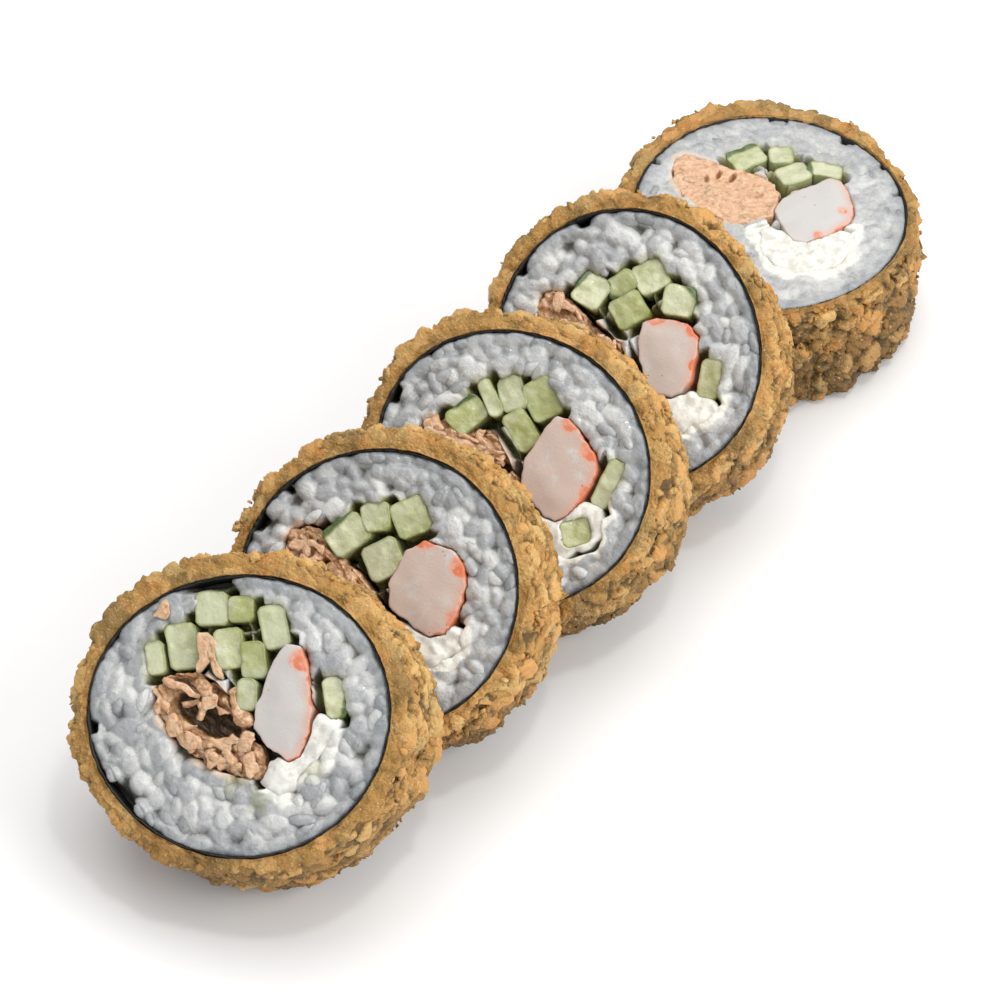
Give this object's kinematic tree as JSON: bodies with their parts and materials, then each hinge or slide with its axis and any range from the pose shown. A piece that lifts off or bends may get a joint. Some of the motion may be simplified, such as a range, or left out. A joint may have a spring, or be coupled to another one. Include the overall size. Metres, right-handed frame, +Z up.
{
  "type": "crunchy sushi roll",
  "caption": "Fried crunchy sushi roll in thick slices leaning in a row: crumb crust, seaweed, rice, salmon, cucumber, crab stick and cream cheese.",
  "frame": {"origin": "on the surface the roll rests on, below the middle of the row", "axes": "+Z up; the row of slices runs along Y, with the front slice towards -Y and the flat-lying back slice towards +Y; +X is to the right of a viewer who looks along +Y"},
  "size_m": [0.0642, 0.2194, 0.0521],
  "materials": {
    "crust": "fried golden-brown crumb crust, dry and craggy, with darker and orange spots",
    "nori": "near-black seaweed sheet seen on its cut edge",
    "rice": "moist translucent white short-grain rice, cut across",
    "salmon": "flaked cooked salmon, moist, with darker gaps between the flakes",
    "cucumber": "wet pale green cucumber flesh, with dark green peel on some edges",
    "crab_stick": "smooth off-white crab stick with a red-orange skin",
    "cream_cheese": "soft white cream cheese"
  },
  "bodies": {
    "root": {"slice_1_crab_stick": "crab_stick", "slice_1_cream_cheese": "cream_cheese", "slice_1_crust": "crust", "slice_1_cucumber_1": "cucumber", "slice_1_cucumber_2": "cucumber", "slice_1_cucumber_3": "cucumber", "slice_1_cucumber_4": "cucumber", "slice_1_cucumber_5": "cucumber", "slice_1_cucumber_6": "cucumber", "slice_1_cucumber_7": "cucumber", "slice_1_cucumber_8": "cucumber", "slice_1_cucumber_9": "cucumber", "slice_1_nori": "nori", "slice_1_rice": "rice", "slice_1_salmon": "salmon", "slice_2_crab_stick": "crab_stick", "slice_2_cream_cheese": "cream_cheese", "slice_2_crust": "crust", "slice_2_cucumber_1": "cucumber", "slice_2_cucumber_2": "cucumber", "slice_2_cucumber_3": "cucumber", "slice_2_cucumber_4": "cucumber", "slice_2_nori": "nori", "slice_2_rice": "rice", "slice_2_salmon": "salmon", "slice_3_crab_stick": "crab_stick", "slice_3_cream_cheese": "cream_cheese", "slice_3_crust": "crust", "slice_3_cucumber_1": "cucumber", "slice_3_cucumber_2": "cucumber", "slice_3_cucumber_3": "cucumber", "slice_3_cucumber_4": "cucumber", "slice_3_cucumber_5": "cucumber", "slice_3_cucumber_6": "cucumber", "slice_3_cucumber_7": "cucumber", "slice_3_nori": "nori", "slice_3_rice": "rice", "slice_3_salmon": "salmon", "slice_4_crab_stick": "crab_stick", "slice_4_cream_cheese": "cream_cheese", "slice_4_crust": "crust", "slice_4_cucumber_1": "cucumber", "slice_4_cucumber_2": "cucumber", "slice_4_cucumber_3": "cucumber", "slice_4_cucumber_4": "cucumber", "slice_4_cucumber_5": "cucumber", "slice_4_cucumber_6": "cucumber", "slice_4_nori": "nori", "slice_4_rice": "rice", "slice_4_salmon": "salmon", "slice_5_crab_stick": "crab_stick", "slice_5_cream_cheese": "cream_cheese", "slice_5_crust": "crust", "slice_5_cucumber_1": "cucumber", "slice_5_cucumber_2": "cucumber", "slice_5_cucumber_3": "cucumber", "slice_5_cucumber_4": "cucumber", "slice_5_nori": "nori", "slice_5_rice": "rice", "slice_5_salmon": "salmon"}
  },
  "joints": []
}
